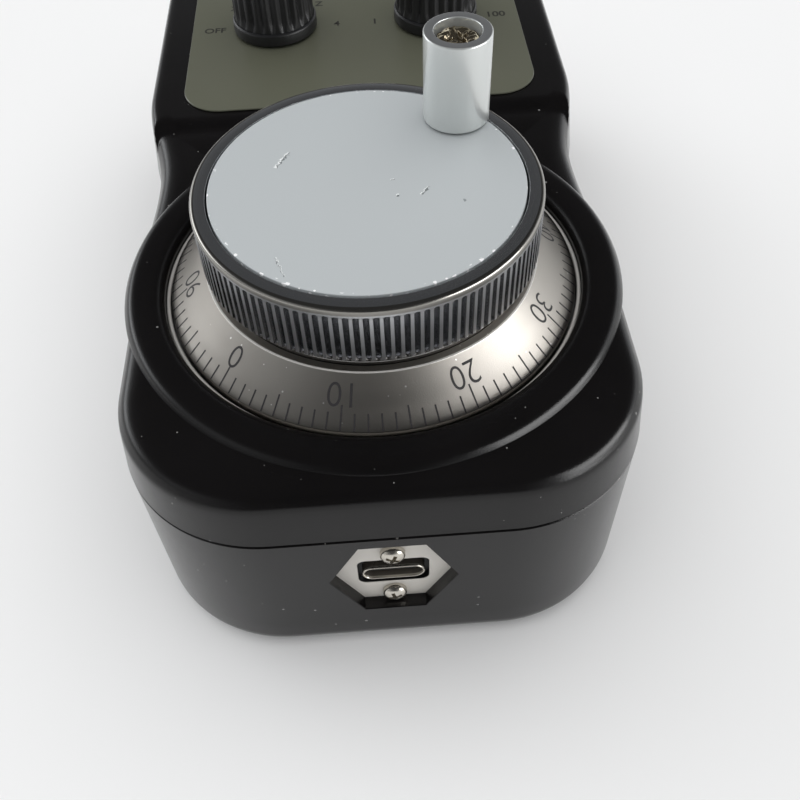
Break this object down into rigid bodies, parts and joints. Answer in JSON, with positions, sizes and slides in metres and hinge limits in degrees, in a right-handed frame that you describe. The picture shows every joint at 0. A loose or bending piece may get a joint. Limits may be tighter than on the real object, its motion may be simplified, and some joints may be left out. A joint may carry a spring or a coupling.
{
  "type": "pulse generator handwheel",
  "caption": "Hand-held pendant with a graduated pulse generator wheel and crank handle, two rotary selectors on a label plate, and a small cable socket in the wheel end.",
  "frame": {"origin": "on the flat back of the housing, straight under the wheel's axis", "axes": "+Z out of the back through the wheel, along its axis; +Y from the wheel to the selectors; +X to the right seen from above with the socket end nearest"},
  "size_m": [0.078, 0.1405, 0.0706],
  "materials": {
    "black_abs": "fine matte texture",
    "gasket_rubber": "matte",
    "steel_screw": "plain",
    "label_plate": "semi-gloss film",
    "flange_metal": "bright turned",
    "generator_plastic": "moulded",
    "terminal_green": "moulded",
    "bearing_steel": "ground",
    "spring_brass": "rolled strip",
    "board_green": "solder mask",
    "sensor_plastic": "moulded",
    "disc_metal": "etched",
    "dial_aluminium": "fine bead blasted",
    "knob_aluminium": "bright turned",
    "cap_face": "satin",
    "pivot_steel": "worn nickel",
    "handle_aluminium": "satin anodised",
    "switch_plastic": "moulded",
    "nickel_nut": "nickel plate",
    "knob_plastic": "moulded",
    "socket_plate_grey": "satin",
    "socket_nickel": "nickel plate",
    "tongue_plastic": "moulded",
    "socket_screw_nickel": "nickel plate",
    "ribbon_grey": "flat lead"
  },
  "bodies": {
    "housing": {"bottom_shell": "black_abs", "top_shell": "black_abs", "shell_gasket": "gasket_rubber", "shell_screws": "steel_screw", "selector_plate": "label_plate", "generator_flange": "flange_metal", "generator_screws": "steel_screw", "generator_case": "generator_plastic", "generator_cover": "generator_plastic", "terminal_block": "terminal_green", "upper_bearing": "bearing_steel", "lower_bearing": "bearing_steel", "bearing_spacer": "bearing_steel", "detent_spring": "spring_brass", "sensor_board": "board_green", "optical_sensor": "sensor_plastic", "axis_switch": "switch_plastic", "axis_switch_nut": "nickel_nut", "multiplier_switch": "switch_plastic", "multiplier_switch_nut": "nickel_nut", "socket_plate": "socket_plate_grey", "socket_shell": "socket_nickel", "socket_tongue": "tongue_plastic", "socket_board": "board_green", "socket_screws": "socket_screw_nickel", "main_board": "board_green", "board_screws": "steel_screw", "generator_ribbon": "ribbon_grey", "socket_ribbon": "ribbon_grey"},
    "handwheel": {"generator_shaft": "bearing_steel", "detent_wheel": "bearing_steel", "code_disc": "disc_metal", "shaft_clip": "steel_screw", "graduated_dial": "dial_aluminium", "dial_screws": "steel_screw", "fluted_knob": "knob_aluminium", "cap_disc": "cap_face", "wheel_set_screws": "steel_screw", "handle_pivot": "pivot_steel"},
    "crank_handle": {"crank_handle": "handle_aluminium"},
    "axis_selector": {"axis_switch_shaft": "bearing_steel", "axis_knob": "knob_plastic", "axis_knob_screw": "steel_screw"},
    "multiplier_selector": {"multiplier_switch_shaft": "bearing_steel", "multiplier_knob": "knob_plastic", "multiplier_knob_screw": "steel_screw"}
  },
  "joints": [
    {"name": "wheel_turn", "type": "hinge", "parent": "housing", "child": "handwheel", "pos_m": [0, 0, 0.04], "axis": [0, 0, 1], "continuous": true},
    {"name": "crank_handle_spin", "type": "hinge", "parent": "handwheel", "child": "crank_handle", "pos_m": [0.01358, 0.01358, 0.06], "axis": [0, 0, 1], "continuous": true},
    {"name": "axis_selector_turn", "type": "hinge", "parent": "housing", "child": "axis_selector", "pos_m": [-0.0155, 0.068, 0.045], "axis": [0, 0, 1], "range_deg": [-180, 0]},
    {"name": "multiplier_selector_turn", "type": "hinge", "parent": "housing", "child": "multiplier_selector", "pos_m": [0.0155, 0.068, 0.045], "axis": [0, 0, 1], "range_deg": [-180, 0]}
  ]
}
